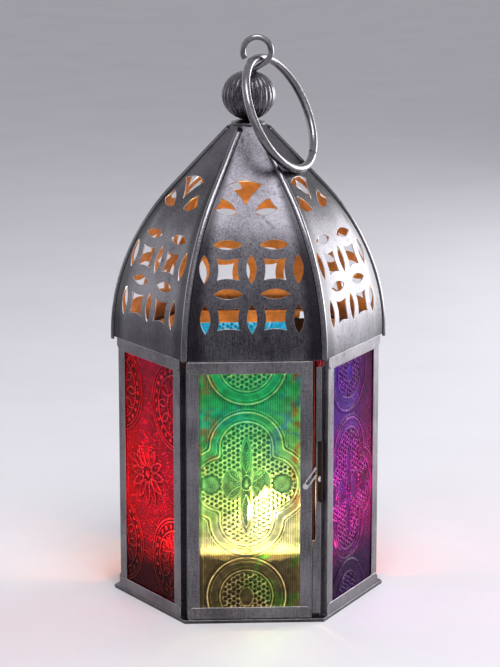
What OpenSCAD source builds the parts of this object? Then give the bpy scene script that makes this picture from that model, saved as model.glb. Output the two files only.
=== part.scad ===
// Six-sided metal and coloured-glass candle lantern: a hinged door, a pierced dome roof, a fluted
// ball finial and a hanging ring. Millimetres. The origin is the middle of the base plate's
// underside, +Z is up, and the door faces -Y. Faces are counted anticlockwise from the door.

/* [Body] */
// Width across the front faces of two opposite panel frames
body_flats = 84.8; // [82:0.1:92]
// Height from the table to the top of the panel frames
body_h = 95.4; // [80:0.1:120]
// Gap between a fixed panel frame's edge and the body's corner
frame_gap = 3.28; // [2.8:0.02:4]
// Face width of the channel strips that hold the glass
strip_w = 4.2; // [3.4:0.1:5.5]
// Sheet thickness of the channel strips
channel_sheet = 0.3; // [0.2:0.05:0.4]
// How far the ends of the rails' front lips are clipped
rail_clip = 1.5; // [0.5:0.1:2.5]
// How far the fixed frames' rails run past their stiles
rail_over = 0.4; // [0:0.1:0.8]

/* [Posts] */
// Sheet thickness of the folded corner posts
post_sheet = 0.5; // [0.3:0.05:0.7]
// How far a post's leg laps behind a frame's stile
post_lap = 4; // [2:0.1:6]
// Drop from the frames' top to the posts' top
post_drop = 2.9; // [1:0.1:6]

/* [Base] */
// Thickness of the base plate
base_t = 1.2; // [0.8:0.1:2]
// How far the base plate stands out past the frames
base_ledge = 0.6; // [0.4:0.1:3]
// Height of the rim that stands inside the frames
rim_h = 3; // [2:0.1:5]
// Sheet thickness of that rim
rim_sheet = 0.4; // [0.3:0.05:0.8]

/* [Glass] */
// Thickness of the glass panes
glass_t = 1; // [0.8:0.1:2]

/* [Door] */
// Distance from the body's front right corner to the door's free edge
door_latch_inset = 4.16; // [3.8:0.02:4.6]
// Distance from the body's front left corner to the door's hinged edge
door_inset = 0.8; // [0.6:0.1:1.2]
// Gap above and below the door
door_gap = 0.35; // [0.2:0.05:0.6]
// Gap between the door's free edge and the latch post
latch_gap = 1.4; // [1:0.1:1.6]

/* [Latch] */
// Wire diameter of the latch and of its keeper
latch_wire = 0.7; // [0.5:0.05:0.8]
// Diameter of the rivet that the latch turns on
latch_rivet_d = 0.8; // [0.6:0.05:1.2]
// Length of the latch's long strand
latch_long = 7.7; // [6.5:0.1:8.5]
// Length of the latch's short strand
latch_short = 5.6; // [5.2:0.1:5.8]
// Angle of the latch above the horizontal, at rest
latch_deg = 55; // [50:1:60]
// Height of the latch's rivet above the table
latch_z = 50.1; // [35:0.1:60]
// Distance of that rivet from the door's free edge
latch_inset = 2.4; // [2.3:0.1:2.7]
// Height of the keeper's pin above the latch's rivet
keeper_rise = 2.1; // [1.8:0.1:2.4]
// Height of the keeper plate on the latch post
keeper_plate_h = 22.2; // [16:0.1:26]
// How far the keeper plate reaches below the latch's rivet
keeper_plate_drop = 6.5; // [4:0.1:9]
// Sheet thickness of the keeper plate
keeper_sheet = 0.4; // [0.3:0.05:0.6]

/* [Roof] */
// How far the roof's skirt stands out past the panel frames
roof_ledge = 0.5; // [0.3:0.1:5]
// Height of the straight skirt at the eaves
skirt_h = 1; // [0.8:0.1:4]
// Radius that the roof panels are rolled to
roof_arc_r = 86; // [80:0.5:92]
// Angle from the vertical at which the roof runs straight to its top
roof_arc_deg = 39.5; // [37:0.5:42]
// Width across flats of the open top, under the finial
apex_flats = 11.6; // [10:0.1:14]
// Sheet thickness of the roof panels
roof_sheet = 0.4; // [0.3:0.05:0.6]
// Width of the ribs over the roof's hips
rib_w = 2.8; // [2:0.1:4]
// How far the ribs stand proud of the panels
rib_h = 0.5; // [0.4:0.05:1.2]

/* [Piercing] */
// Spacing of the pierced circles along a panel's width
pierce_pitch_t = 16.3; // [14:0.1:17]
// Spacing of the pierced circles up a panel's curve
pierce_pitch_s = 17.4; // [15:0.1:18]
// Curved height of the lower row of pierced squares above the skirt
pierce_row_s = 13.6; // [11:0.1:16]
// Length of the pointed ovals
oval_len = 10.4; // [8:0.1:12]
// Width of the pointed ovals
oval_w = 3.5; // [2.5:0.1:4.5]
// Width of the pierced squares
square_w = 7.8; // [6:0.1:8.4]
// How far the sides of a pierced square bow inwards
square_bow = 0.6; // [0.3:0.1:1.2]
// Width of the fan at the top of each panel
fan_w = 12.3; // [9:0.1:13]
// Height of that fan
fan_h = 9.7; // [7:0.1:10]
// Length of the two petals beside the fan
petal_len = 8; // [6:0.1:8.4]
// Distance of the petals' inner tips from the fan's middle line
petal_gap = 3.3; // [2:0.1:4]
// How far the petals' inner tips sit below the fan's lower tip
petal_drop = 3.4; // [3:0.1:5]
// Curved height of the fan's lower tip above the skirt
fan_s = 54.5; // [52:0.1:57]
// How far the grid of piercings sits to the left of the panel's middle
pierce_shift = 0.8; // [0:0.1:1.5]
// How far the fan and petals sit to the left of the panel's middle
fan_shift = 2.2; // [0:0.1:2.5]

/* [Finial] */
// Diameter of the fluted ball
ball_d = 19.2; // [16:0.1:22]
// Height of the fluted ball
ball_h = 18.2; // [15:0.1:21]
// Number of flutes round the ball
flutes = 24; // [16:2:30]
// Depth of the flutes
flute_depth = 0.7; // [0.3:0.1:1.2]
// Wire diameter of the hanging eye
eye_wire = 2.1; // [1.6:0.1:2.6]
// Outer diameter of the hanging eye's loop
eye_d = 12.1; // [11:0.1:14]
// Height of the loop's middle above the ball's top
eye_rise = 6.3; // [6.2:0.1:8]
// How far the loop's middle sits to the right of the lantern's axis
eye_x = 3; // [2:0.1:4]

/* [Ring] */
// Outer diameter of the hanging ring
ring_d = 45.2; // [42:0.1:48]
// Wire diameter of the hanging ring
ring_wire = 3; // [2.4:0.1:3.4]
// Gap between the ring's low end and the roof panel that it leans towards
ring_gap = 0.24; // [0.1:0.02:2]
// Turn of the ring's tangent away from the front, seen from above
ring_turn = 29.4; // [20:0.1:35]

/* [Candle] */
// Outer diameter of the tealight's cup
tealight_d = 38; // [36:0.1:39]
// Height of the tealight's cup
tealight_h = 16; // [12:0.1:20]
// Wall thickness of the tealight's cup
cup_wall = 0.3; // [0.2:0.05:0.5]
// Depth of the wax below the cup's rim
wax_drop = 2; // [1:0.1:4]
// Wick diameter
wick_d = 1.4; // [1:0.1:2]
// Length of the wick above the wax
wick_out = 6; // [4:0.1:9]
// Height of the ring that holds the tealight on the base
holder_h = 5; // [3:0.1:8]

/* [Hidden] */

// Colours, as the photograph shows them
metal_c = [0.30, 0.29, 0.31];
bright_c = [0.62, 0.61, 0.62];
green_c = [0.10, 0.62, 0.28, 0.6];
red_c = [0.75, 0.05, 0.10, 0.6];
purple_c = [0.42, 0.10, 0.60, 0.6];
turquoise_c = [0.08, 0.60, 0.75, 0.6];
ruby_c = [0.62, 0.04, 0.12, 0.6];
amber_c = [0.90, 0.45, 0.08, 0.6];
wax_c = [0.95, 0.93, 0.86];
foil_c = [0.80, 0.80, 0.82];

// Fineness of round shapes
$fn = 96;
// Overrun of every cut past the face that it leaves
over = 0.5;
// Overlap of a wire's straight with its bend, and how much thinner the straight is
fuse = 0.05;
// How far the roof's straight runs cut into its arc, so that they cross it
arc_bite = 0.01;
// Sides of the plan, and the turn from one face to the next
sides = 6;
side_deg = 360 / sides;
half_tan = tan(side_deg / 2);
half_cos = cos(side_deg / 2);

// Clearances
glass_play = 0.05;
hinge_play = 0.05;
pane_play = 0.3;
wire_play = 0.1;
pivot_play = 0.05;
holder_play = 0.5;
ring_play = 0.15;
stem_play = 0.05;
rim_play = 0.5;
keeper_play = 0.3;
keeper_inset = 0.6;
wax_play = 0.02;

// Channels: a slot for the glass between two skins of sheet
slot_d = glass_t + 2 * glass_play;
channel_d = slot_d + 2 * channel_sheet;
front_a = body_flats / 2;
face_half = front_a * half_tan;
frame_w = 2 * (face_half - frame_gap);
slot_a = front_a - channel_sheet;
glass_a = slot_a - glass_play;
back_a = front_a - channel_d;
lip_a = front_a + channel_sheet;
inner_a = back_a - channel_sheet;

// Heights of the fixed frames and of the door
frame_z0 = base_t;
frame_z1 = body_h;
door_z0 = frame_z0 + door_gap;
door_z1 = frame_z1 - door_gap;

// Posts: sheet behind the frames, with the fold on the body's corner
post_corner = back_a * half_tan;
post_in_a = back_a - post_sheet;
post_z1 = body_h - post_drop;
leg_len = post_corner - frame_w / 2 + post_lap;

// Door edges along X, and the hinge wire's axis
door_x0 = door_inset - face_half;
door_x1 = face_half - door_latch_inset;
hinge_d = slot_d - 2 * hinge_play;
hinge_x = door_x0 + channel_sheet + hinge_play + hinge_d / 2;
hinge_a = front_a - channel_d / 2;
hinge_swing = norm([hinge_x - door_x0, channel_d / 2 + channel_sheet]);
stop_play = 0.3;
stop_a = hinge_a - hinge_swing - stop_play;

// Latch: a hairpin that turns on a rivet in front of the door's free stile
latch_x = door_x1 - latch_inset;
latch_half = latch_rivet_d / 2 + pivot_play + latch_wire / 2;
latch_a = front_a + wire_play + latch_wire / 2;
latch_head_t = 0.35;
latch_head_lip = 0.55;
latch_head_d = latch_rivet_d + 2 * latch_head_lip;

// Latch post: the plate that fills its lower gap, and the keeper
post_gap = 0.35;
post_foot_gap = 1.3;
filler_h = 27;
filler_z0 = base_t + post_foot_gap;
keeper_plate_z0 = latch_z - keeper_plate_drop;
keeper_a = back_a + keeper_sheet;
keeper_leg_x = door_x1 + latch_gap + keeper_inset;
keeper_leg_t = frame_w / 2 + rail_over;
keeper_round = 1.4;
short_end_x = latch_x + latch_short * cos(latch_deg) + latch_half * sin(latch_deg);
keeper_x = short_end_x + latch_wire + keeper_play;
keeper_z = latch_z + keeper_rise;
keeper_tip_a = latch_a + latch_wire + keeper_play / 2;
keeper_tip_h = 1.7;

// Base, rim and eaves band
base_a = front_a + base_ledge;
rim_a = inner_a - rim_play;
band_sheet = 0.8;
band_lip_h = 0.4;
band_in = 3.4;
roof_a = front_a + roof_ledge;
band_a = roof_a - roof_sheet - arc_bite;
hinge_hole_d = hinge_d + 2 * hinge_play;
hinge_end = 0.2;
hinge_z0 = hinge_end;
hinge_z1 = body_h + band_sheet + hinge_end;

// Roof: a straight skirt, an arc, then a straight run to the open top
eaves_gap = 0.2;
eaves_z = body_h + eaves_gap;
arc_z0 = eaves_z + skirt_h;
arc_z1 = arc_z0 + roof_arc_r * sin(roof_arc_deg);
arc_a1 = roof_a - roof_arc_r * (1 - cos(roof_arc_deg));
arc_s1 = roof_arc_r * roof_arc_deg * PI / 180;
apex_a = apex_flats / 2;
apex_z = arc_z1 + (arc_a1 - apex_a) / tan(roof_arc_deg);
foot_h = 0.9;
foot_play = 0.15;
front_foot_h = door_gap - foot_play;
foot_r = hinge_a * half_cos - hinge_x * sin(side_deg / 2) + hinge_swing + stop_play;
punch_reach = 1;
fan_crown_share = 0.17;
fan_bow_share = 0.06;
petal_outer_share = [0.96, 0.26];
petal_top_share = [0.64, 0.76];
petal_low_share = 0.18;
petal_side_share = 0.14;
petal_bow_share = 0.04;

// Apex cap, ball, stem and eye
cap_over = 0.4;
cap_r = apex_a + cap_over;
cap_t = 0.8;
cap_boss_h = 0.8;
cap_boss_r = 3.2;
spigot_h = 1.2;
spigot_r = apex_a - roof_sheet / cos(roof_arc_deg) - pane_play;
cap_z1 = apex_z + cap_t + cap_boss_h;
stem_hole_d = eye_wire;
stem_d = eye_wire - 2 * stem_play;
pole_deg = 82;
ball_z = cap_z1 + ball_h / 2 * sin(pole_deg);
ball_top_z = ball_z + ball_h / 2 * sin(pole_deg);
ball_rows = 12;
mouth_r = 3.4;
mouth_h = 3;
eye_r = (eye_d - eye_wire) / 2;
eye_z = ball_top_z + eye_rise;
eye_end_deg = 210;
eye_leave_deg = -60;
leave_x = eye_x + eye_r * cos(eye_leave_deg);
leave_z = eye_z + eye_r * sin(eye_leave_deg);
bend_z = leave_z - leave_x * tan(90 + eye_leave_deg);
bend_r = 2;
washer_d = 6;
washer_t = 0.8;
washer_z0 = apex_z - spigot_h - washer_t - stem_play;
clench_d = 3.4;
clench_t = 0.7;
stem_z0 = washer_z0 - clench_t;

// Ring: its wire rests in the bottom of the eye, and it leans towards a panel's straight run
ring_r = (ring_d - ring_wire) / 2;
ring_sink = eye_r - (eye_wire + ring_wire) / 2 - ring_play;
ring_sink_deg = -75;
ring_x = eye_x + ring_sink * cos(ring_sink_deg);
ring_z = eye_z + ring_sink * sin(ring_sink_deg);
ring_top_off = (ring_x * cos(ring_turn) - arc_a1) * cos(roof_arc_deg) + (ring_z - arc_z1) * sin(roof_arc_deg);
ring_low_off = ring_wire / 2 + ring_gap;
ring_lean = roof_arc_deg - asin((ring_top_off - ring_low_off) / (2 * ring_r));
ring_seam_deg = 0.5;
ring_seam_at = 215;

// Tealight
holder_wall = 0.5;
holder_r = tealight_d / 2 + holder_play;
cup_r = tealight_d / 2;
cup_lip = 0.5;
cup_lip_t = 0.4;
cup_z0 = base_t;
cup_z1 = cup_z0 + tealight_h;
wax_z1 = cup_z1 - wax_drop;
sustainer_d = 13;
sustainer_t = 0.4;
sustainer_neck_d = 3.6;
sustainer_neck_h = 3;

// One face's frame of reference: +X to the right and -Y outwards, turned to face number i
module on_face(i) rotate([0, 0, i * side_deg]) children();

// The corner between face number i and the next one
module on_corner(i) rotate([0, 0, i * side_deg]) children();

// Hexagonal slab with its flats facing the six faces
module hex_slab(a, z0, z1) {
    translate([0, 0, z0]) linear_extrude(z1 - z0)
        polygon([for (i = [0 : sides - 1]) a / half_cos * [cos(i * side_deg), sin(i * side_deg)]]);
}

// Base

module base_plate() {
    color(metal_c) difference() {
        hex_slab(base_a, 0, base_t);
        translate([hinge_x, -hinge_a, -over]) cylinder(d = hinge_hole_d, h = base_t + 2 * over);
    }
}

module base_rim() {
    color(metal_c) difference() {
        hex_slab(rim_a, base_t, base_t + rim_h);
        hex_slab(rim_a - rim_sheet, base_t - over, base_t + rim_h + over);
    }
}

module hinge_wire() {
    color(bright_c) translate([hinge_x, -hinge_a, hinge_z0]) cylinder(d = hinge_d, h = hinge_z1 - hinge_z0);
}

// Corner posts

// Outline of a folded post: one leg behind the front face from x, the other behind the next face
function post_points(x, out_a, in_a, other) =
    let (
        other_x = [cos(side_deg), sin(side_deg)],
        outer = [out_a * half_tan, -out_a],
        inner = [in_a * half_tan, -in_a]
    ) [
        [x, -out_a], outer, outer + (outer[0] - other) * other_x,
        inner + (inner[0] - other) * other_x, inner, [x, -in_a]
    ];

module post_fold(x, z0, z1) {
    translate([0, 0, z0]) linear_extrude(z1 - z0)
        polygon(post_points(x, back_a, post_in_a, post_corner - leg_len));
}

module plain_post() {
    post_fold(post_corner - leg_len, base_t, post_z1);
}

// The latch post has a lower front leg with a wider plate, and starts above the base there
module post_latch() {
    foot = post_points(post_corner, back_a, post_in_a, post_corner - leg_len);
    color(metal_c) {
        translate([0, 0, base_t]) linear_extrude(filler_z0 - base_t)
            polygon([foot[1], foot[2], foot[3], foot[4]]);
        post_fold(door_x1 + post_gap, filler_z0, filler_z0 + filler_h);
        post_fold(door_x1 + latch_gap, filler_z0 + filler_h, post_z1);
    }
}

// The hinge post has one leg behind the left frame and one set back behind the door, clear of its swing
module post_hinge() {
    hinge_t = hinge_x * cos(side_deg) + hinge_a * sin(side_deg);
    leg_start = post_corner - leg_len;
    leg_end = hinge_t - hinge_swing - stop_play;
    leg_mid_a = back_a - post_sheet / 2;
    stop_mid_a = stop_a - post_sheet / 2;
    stop_z0 = base_t + rim_h + stop_play;
    fold_t = (stop_mid_a - leg_mid_a * cos(side_deg)) / sin(side_deg);
    fold_x = fold_t * cos(side_deg) - leg_mid_a * sin(side_deg);
    color(metal_c) {
        on_face(sides - 1) translate([leg_start, -back_a, base_t])
            cube([leg_end - leg_start, post_sheet, post_z1 - base_t]);
        translate([fold_x, -stop_a, stop_z0])
            cube([door_x0 + post_lap - fold_x, post_sheet, post_z1 - stop_z0]);
    }
}

// Panel frames

// A stile: a channel with its closed edge at x = 0 and its slot towards +X
module stile(z0, z1) {
    difference() {
        translate([0, -front_a, z0]) cube([strip_w, channel_d, z1 - z0]);
        translate([channel_sheet, -slot_a, z0 - over]) cube([strip_w, slot_d, z1 - z0 + 2 * over]);
    }
}

// The two stiles of a frame between x0 and x1
module stile_pair(x0, x1, z0, z1) {
    translate([x0, 0, 0]) stile(z0 + channel_sheet, z1 - channel_sheet);
    translate([x1, 0, 0]) mirror([1, 0, 0]) stile(z0 + channel_sheet, z1 - channel_sheet);
}

// A bottom rail: a floor, a front lip with clipped ends, and a short back lip between the posts
module rail(x0, x1, z0) {
    translate([x0, -lip_a, z0]) cube([x1 - x0, lip_a - back_a, channel_sheet]);
    translate([0, -front_a, z0]) rotate([90, 0, 0]) linear_extrude(channel_sheet) polygon([
        [x0, 0], [x1, 0], [x1, strip_w - rail_clip], [x1 - rail_clip, strip_w],
        [x0 + rail_clip, strip_w], [x0, strip_w - rail_clip]
    ]);
    back_half = frame_w / 2 - post_lap - pane_play;
    translate([-back_half, -back_a, z0]) cube([2 * back_half, channel_sheet, strip_w]);
}

// The two rails of a frame between x0 and x1
module rail_pair(x0, x1, z0, z1) {
    rail(x0, x1, z0);
    translate([0, 0, z0 + z1]) mirror([0, 0, 1]) rail(x0, x1, z0);
}

// A pane that stands on the bottom rail's floor, in the slots of both stiles
module pane(x0, x1, z0, z1) {
    pane_z0 = z0 + channel_sheet;
    pane_z1 = z1 - channel_sheet - pane_play;
    translate([x0, -glass_a, pane_z0]) cube([x1 - x0, glass_t, pane_z1 - pane_z0]);
}

module fixed_stiles(i) {
    color(metal_c) on_face(i) stile_pair(-frame_w / 2, frame_w / 2, frame_z0, frame_z1);
}

module fixed_rails(i) {
    half = frame_w / 2 + rail_over;
    color(metal_c) on_face(i) rail_pair(-half, half, frame_z0, frame_z1);
}

module fixed_glass(i, c) {
    half = frame_w / 2 - channel_sheet - pane_play;
    color(c) on_face(i) pane(-half, half, frame_z0, frame_z1);
}

// Door

module door_stile_hinge() {
    color(metal_c) translate([door_x0, 0, 0]) stile(door_z0 + channel_sheet, door_z1 - channel_sheet);
}

module door_stile_latch() {
    color(metal_c) difference() {
        translate([door_x1, 0, 0]) mirror([1, 0, 0]) stile(door_z0 + channel_sheet, door_z1 - channel_sheet);
        translate([latch_x, -slot_a, latch_z]) rotate([90, 0, 0])
            cylinder(d = latch_rivet_d, h = channel_sheet + over);
    }
}

// The door's bottom rail, with the hinge wire's hole in its floor
module door_rail(z0) {
    difference() {
        rail(door_x0, door_x1, z0);
        translate([hinge_x, -hinge_a, z0 - over]) cylinder(d = hinge_hole_d, h = channel_sheet + 2 * over);
    }
}

module door_rail_top() {
    color(metal_c) translate([0, 0, door_z0 + door_z1]) mirror([0, 0, 1]) door_rail(door_z0);
}

module door_rail_bottom() {
    color(metal_c) door_rail(door_z0);
}

module door_glass() {
    x0 = hinge_x + hinge_d / 2 + pane_play;
    x1 = door_x1 - channel_sheet - pane_play;
    color(green_c) pane(x0, x1, door_z0, door_z1);
}

// Latch

module latch_rivet() {
    color(bright_c) translate([latch_x, -slot_a, latch_z]) rotate([90, 0, 0]) {
        cylinder(d = latch_rivet_d, h = latch_a + latch_wire / 2 + wire_play - slot_a);
        translate([0, 0, latch_a + latch_wire / 2 + wire_play - slot_a])
            cylinder(d = latch_head_d, h = latch_head_t);
    }
}

module latch_hook() {
    color(bright_c) translate([latch_x, -latch_a, latch_z]) rotate([90, 0, 0]) rotate([0, 0, latch_deg]) {
        rotate([0, 0, 90]) rotate_extrude(angle = 180) translate([latch_half, 0]) circle(d = latch_wire);
        translate([-fuse, latch_half, 0]) rotate([0, 90, 0])
            cylinder(d = latch_wire - fuse, h = latch_long + fuse);
        translate([-fuse, -latch_half, 0]) rotate([0, 90, 0])
            cylinder(d = latch_wire - fuse, h = latch_short + fuse);
    }
}

// One leg of the keeper plate, from x to the fold, with its free lower corner rounded
module keeper_plate() {
    color(metal_c) difference() {
        translate([0, 0, keeper_plate_z0]) linear_extrude(keeper_plate_h)
            polygon(post_points(keeper_leg_x, keeper_a, back_a, keeper_leg_t));
        translate([keeper_leg_x, -back_a + over, keeper_plate_z0]) rotate([90, 0, 0])
            linear_extrude(keeper_sheet + 2 * over) difference() {
                translate([-over, -over]) square(keeper_round + over);
                translate([keeper_round, keeper_round]) circle(r = keeper_round);
            }
    }
}

module keeper_hook() {
    color(bright_c) translate([keeper_x, 0, keeper_z]) {
        translate([0, -keeper_a, 0]) rotate([90, 0, 0]) cylinder(d = latch_wire, h = keeper_tip_a - keeper_a);
        translate([0, -keeper_tip_a, 0]) sphere(d = latch_wire);
        translate([0, -keeper_tip_a, 0]) cylinder(d = latch_wire, h = keeper_tip_h);
    }
}

// Eaves band: a flat ring on the frames with a lip that the roof is soldered to

module eaves_band() {
    color(metal_c) difference() {
        hex_slab(band_a, body_h, body_h + band_sheet + band_lip_h);
        hex_slab(band_a - band_in, body_h - over, body_h + band_sheet + over);
        hex_slab(band_a - rim_sheet, body_h + band_sheet, body_h + band_sheet + band_lip_h + over);
        translate([hinge_x, -hinge_a, body_h - over]) cylinder(d = hinge_hole_d, h = band_sheet + 2 * over);
    }
}

// Roof

// Outline under the roof's curve, moved out by d, from height y0 to y1 above the eaves
module roof_outline(d, y0, y1) {
    r = roof_arc_r + d;
    a0 = roof_a + d - arc_bite;
    z1 = skirt_h + r * sin(roof_arc_deg);
    a1 = roof_a + d - r * (1 - cos(roof_arc_deg)) - arc_bite / cos(roof_arc_deg);
    intersection() {
        polygon([
            [0, y0], [a0, y0], [a0, z1 - (a0 - a1) / tan(roof_arc_deg)],
            [a1 - (y1 - z1) * tan(roof_arc_deg), y1], [0, y1]
        ]);
        union() {
            translate([roof_a + d - r, skirt_h]) circle(r = r);
            translate([0, y0 - over]) square([roof_a + r, skirt_h - y0 + over]);
            translate([0, z1]) square([roof_a + r, y1 - z1 + over]);
        }
    }
}

// Stands an outline up along a face, with its first coordinate outwards
module along_face() {
    translate([0, 0, eaves_z]) rotate([90, 0, -90]) linear_extrude(2 * roof_a, center = true) children();
}

// One face's curved sheet, cut to the face's sector
module roof_skin() {
    h = apex_z - eaves_z;
    intersection() {
        along_face() difference() {
            roof_outline(0, 0, h);
            roof_outline(-roof_sheet, 0, h);
        }
        translate([0, 0, eaves_z - over]) linear_extrude(h + 2 * over)
            polygon([[0, 0], 2 * roof_a * [half_tan, -1], 2 * roof_a * [-half_tan, -1]]);
    }
}

// A point on the panel at curved height s above the skirt, as [apothem, height, slope]
function panel_deg(s) = min(s, arc_s1) / roof_arc_r * 180 / PI;
function panel_at(s) = let (t = panel_deg(s), run = max(0, s - arc_s1)) [
    roof_a - roof_arc_r * (1 - cos(t)) - run * sin(t),
    arc_z0 + roof_arc_r * sin(t) + run * cos(t),
    t
];

// Cuts a flat shape through the panel at [t, s], square to the sheet
module punch(t, s) {
    p = panel_at(s);
    translate([t, -p[0], p[1]]) rotate([90 - p[2], 0, 0])
        translate([0, 0, -punch_reach]) linear_extrude(2 * punch_reach) children();
}

// Radius of an arc from its half chord and its rise
function arc_radius(half, rise) = (half * half + rise * rise) / (2 * rise);

// Pointed oval, lying along X
module oval(len, wid) {
    r = arc_radius(len / 2, wid / 2);
    intersection() {
        translate([0, r - wid / 2]) circle(r = r);
        translate([0, wid / 2 - r]) circle(r = r);
    }
}

// Square with sides that bow inwards
module bowed_square(wid, bow) {
    r = arc_radius(wid / 2, bow);
    difference() {
        square(wid, center = true);
        for (a = [0 : 90 : 270]) rotate(a) translate([wid / 2 - bow + r, 0]) circle(r = r);
    }
}

// Circle through points a and b that stands out by rise to the left of the line from a to b
module arc_circle(a, b, rise) {
    half = norm(b - a) / 2;
    r = arc_radius(half, rise);
    translate((a + b) / 2) rotate(atan2(b[1] - a[1], b[0] - a[0]))
        translate([0, rise - r]) circle(r = r);
}

// Segment of that circle, between the line and the arc
module arc_segment(a, b, rise) {
    intersection() {
        arc_circle(a, b, rise);
        translate(a) rotate(atan2(b[1] - a[1], b[0] - a[0])) square([norm(b - a), rise + over]);
    }
}

// Fan that widens upwards from a tip at the origin, with bowed sides and a crowned top
module fan(wid, h) {
    low = [0, 0];
    right = [wid / 2, h * (1 - fan_crown_share)];
    left = [-wid / 2, right[1]];
    difference() {
        union() {
            polygon([low, right, left]);
            arc_segment(left, right, h * fan_crown_share);
        }
        arc_circle(low, right, h * fan_bow_share);
        arc_circle(left, low, h * fan_bow_share);
    }
}

// Petal on the fan's right, with its inner tip at the origin
module petal(len) {
    inner = [0, 0];
    outer = len * petal_outer_share;
    top = len * petal_top_share;
    difference() {
        intersection() {
            arc_circle(outer, inner, len * petal_low_share);
            arc_circle(inner, top, len * petal_side_share);
        }
        arc_circle(outer, top, len * petal_bow_share);
    }
}

// Every hole of one panel
module piercings() {
    for (row = [0, 1]) {
        s = pierce_row_s + row * pierce_pitch_s;
        for (col = [-1, 1]) {
            t = col * pierce_pitch_t / 2 - pierce_shift;
            punch(t, s) bowed_square(square_w, square_bow);
            punch(t, s + pierce_pitch_s / 2) oval(oval_len, oval_w);
        }
        for (col = [-1, 0, 1])
            punch(col * pierce_pitch_t - pierce_shift, s) rotate(90) oval(oval_len, oval_w);
    }
    punch(-fan_shift, fan_s + fan_h / 2) translate([0, -fan_h / 2]) fan(fan_w, fan_h);
    for (side = [0, 1])
        punch(-fan_shift, fan_s) mirror([side, 0]) translate([petal_gap, -petal_drop]) petal(petal_len);
}

module roof_panel(i) {
    color(metal_c) on_face(i) difference() {
        roof_skin();
        piercings();
    }
}

// One side of a rib, with the hip over +X: a strip of the face's outline as far as the hip's plane
module rib_half(foot_z) {
    h = apex_z - eaves_z;
    low = foot_z - eaves_z - over;
    intersection() {
        rotate([0, 0, side_deg]) along_face() difference() {
            roof_outline(rib_h, low, h);
            roof_outline(0, low - over, h + over);
        }
        translate([apex_a / 2, -rib_w / 2, foot_z]) cube([2 * roof_a, rib_w / 2, apex_z]);
    }
}

// A strip over a hip, folded down past the eaves by h and in under them, clear of the door
module rib(i, h) {
    foot_z = body_h - h;
    color(bright_c) on_corner(i) rotate([0, 0, -side_deg]) difference() {
        union() {
            rib_half(foot_z);
            mirror([0, 1, 0]) rib_half(foot_z);
            intersection() {
                hex_slab(roof_a + rib_h / 2, foot_z, body_h);
                translate([foot_r, -rib_w / 2, foot_z - over])
                    cube([roof_a, rib_w, h + 2 * over]);
            }
        }
        translate([0, -rib_w, foot_z - over]) cube([foot_r, 2 * rib_w, h + over]);
    }
}

// Finial

module apex_cap() {
    z0 = apex_z - spigot_h;
    hole_r = stem_hole_d / 2;
    color(metal_c) rotate_extrude() polygon([
        [hole_r, z0], [spigot_r, z0], [spigot_r, apex_z], [cap_r, apex_z],
        [cap_r, apex_z + cap_t], [cap_boss_r, cap_z1], [hole_r, cap_z1]
    ]);
}

// Fluted ball: rows of points whose radius dips at every second one
function ball_point(j, k) =
    let (
        lat = -pole_deg + 2 * pole_deg * j / ball_rows,
        dip = (k % 2) * flute_depth * cos(lat),
        r = ball_d / 2 * cos(lat) - dip,
        turn = k * 180 / flutes
    ) [r * cos(turn), r * sin(turn), ball_z + ball_h / 2 * sin(lat)];

module ball_skin() {
    n = 2 * flutes;
    points = [for (j = [0 : ball_rows], k = [0 : n - 1]) ball_point(j, k)];
    walls = [for (j = [0 : ball_rows - 1], k = [0 : n - 1]) let (m = (k + 1) % n)
        [j * n + k, (j + 1) * n + k, (j + 1) * n + m, j * n + m]];
    triangles = [for (w = walls) each [[w[0], w[1], w[2]], [w[0], w[2], w[3]]]];
    low = [[for (k = [0 : n - 1]) k]];
    high = [[for (k = [n - 1 : -1 : 0]) ball_rows * n + k]];
    polyhedron(points, concat(triangles, low, high));
}

module finial_ball() {
    color(metal_c) difference() {
        ball_skin();
        translate([0, 0, cap_z1 - over]) cylinder(d = stem_hole_d, h = ball_h + 2 * over);
        translate([0, 0, ball_top_z - mouth_h]) cylinder(r = mouth_r, h = mouth_h + over);
    }
}

// The eye's wire: a clenched end, a stem, a bend, a short straight and the loop
module hanging_eye() {
    bend_deg = -eye_leave_deg;
    bend_run = bend_r * tan(bend_deg / 2);
    run = norm([leave_x, leave_z - bend_z]) - bend_run;
    color(bright_c) {
        translate([0, 0, stem_z0]) cylinder(d = clench_d, h = clench_t);
        translate([0, 0, stem_z0]) cylinder(d = stem_d, h = bend_z - bend_run + fuse - stem_z0);
        translate([bend_r, 0, bend_z - bend_run]) rotate([90, 0, 0]) rotate([0, 0, 180 - bend_deg])
            rotate_extrude(angle = bend_deg) translate([bend_r, 0]) circle(d = eye_wire);
        translate([leave_x, 0, leave_z]) rotate([0, bend_deg + 180, 0]) translate([0, 0, -fuse])
            cylinder(d = stem_d, h = run + 2 * fuse);
        translate([eye_x, 0, eye_z]) rotate([90, 0, 0]) rotate([0, 0, eye_leave_deg])
            rotate_extrude(angle = eye_end_deg - eye_leave_deg) translate([eye_r, 0]) circle(d = eye_wire);
    }
}

module stem_washer() {
    color(bright_c) translate([0, 0, washer_z0]) difference() {
        cylinder(d = washer_d, h = washer_t);
        translate([0, 0, -over]) cylinder(d = stem_hole_d, h = washer_t + 2 * over);
    }
}

// Ring: one bent wire whose two ends meet at a seam

module hanging_ring() {
    color(bright_c) translate([ring_x, 0, ring_z]) rotate([0, 0, -ring_turn]) rotate([0, -ring_lean, 0])
        translate([0, 0, -ring_r]) rotate([0, 90, 0]) rotate([0, 0, ring_seam_at])
            rotate_extrude(angle = 360 - ring_seam_deg) translate([ring_r, 0]) circle(d = ring_wire);
}

// Candle

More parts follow.
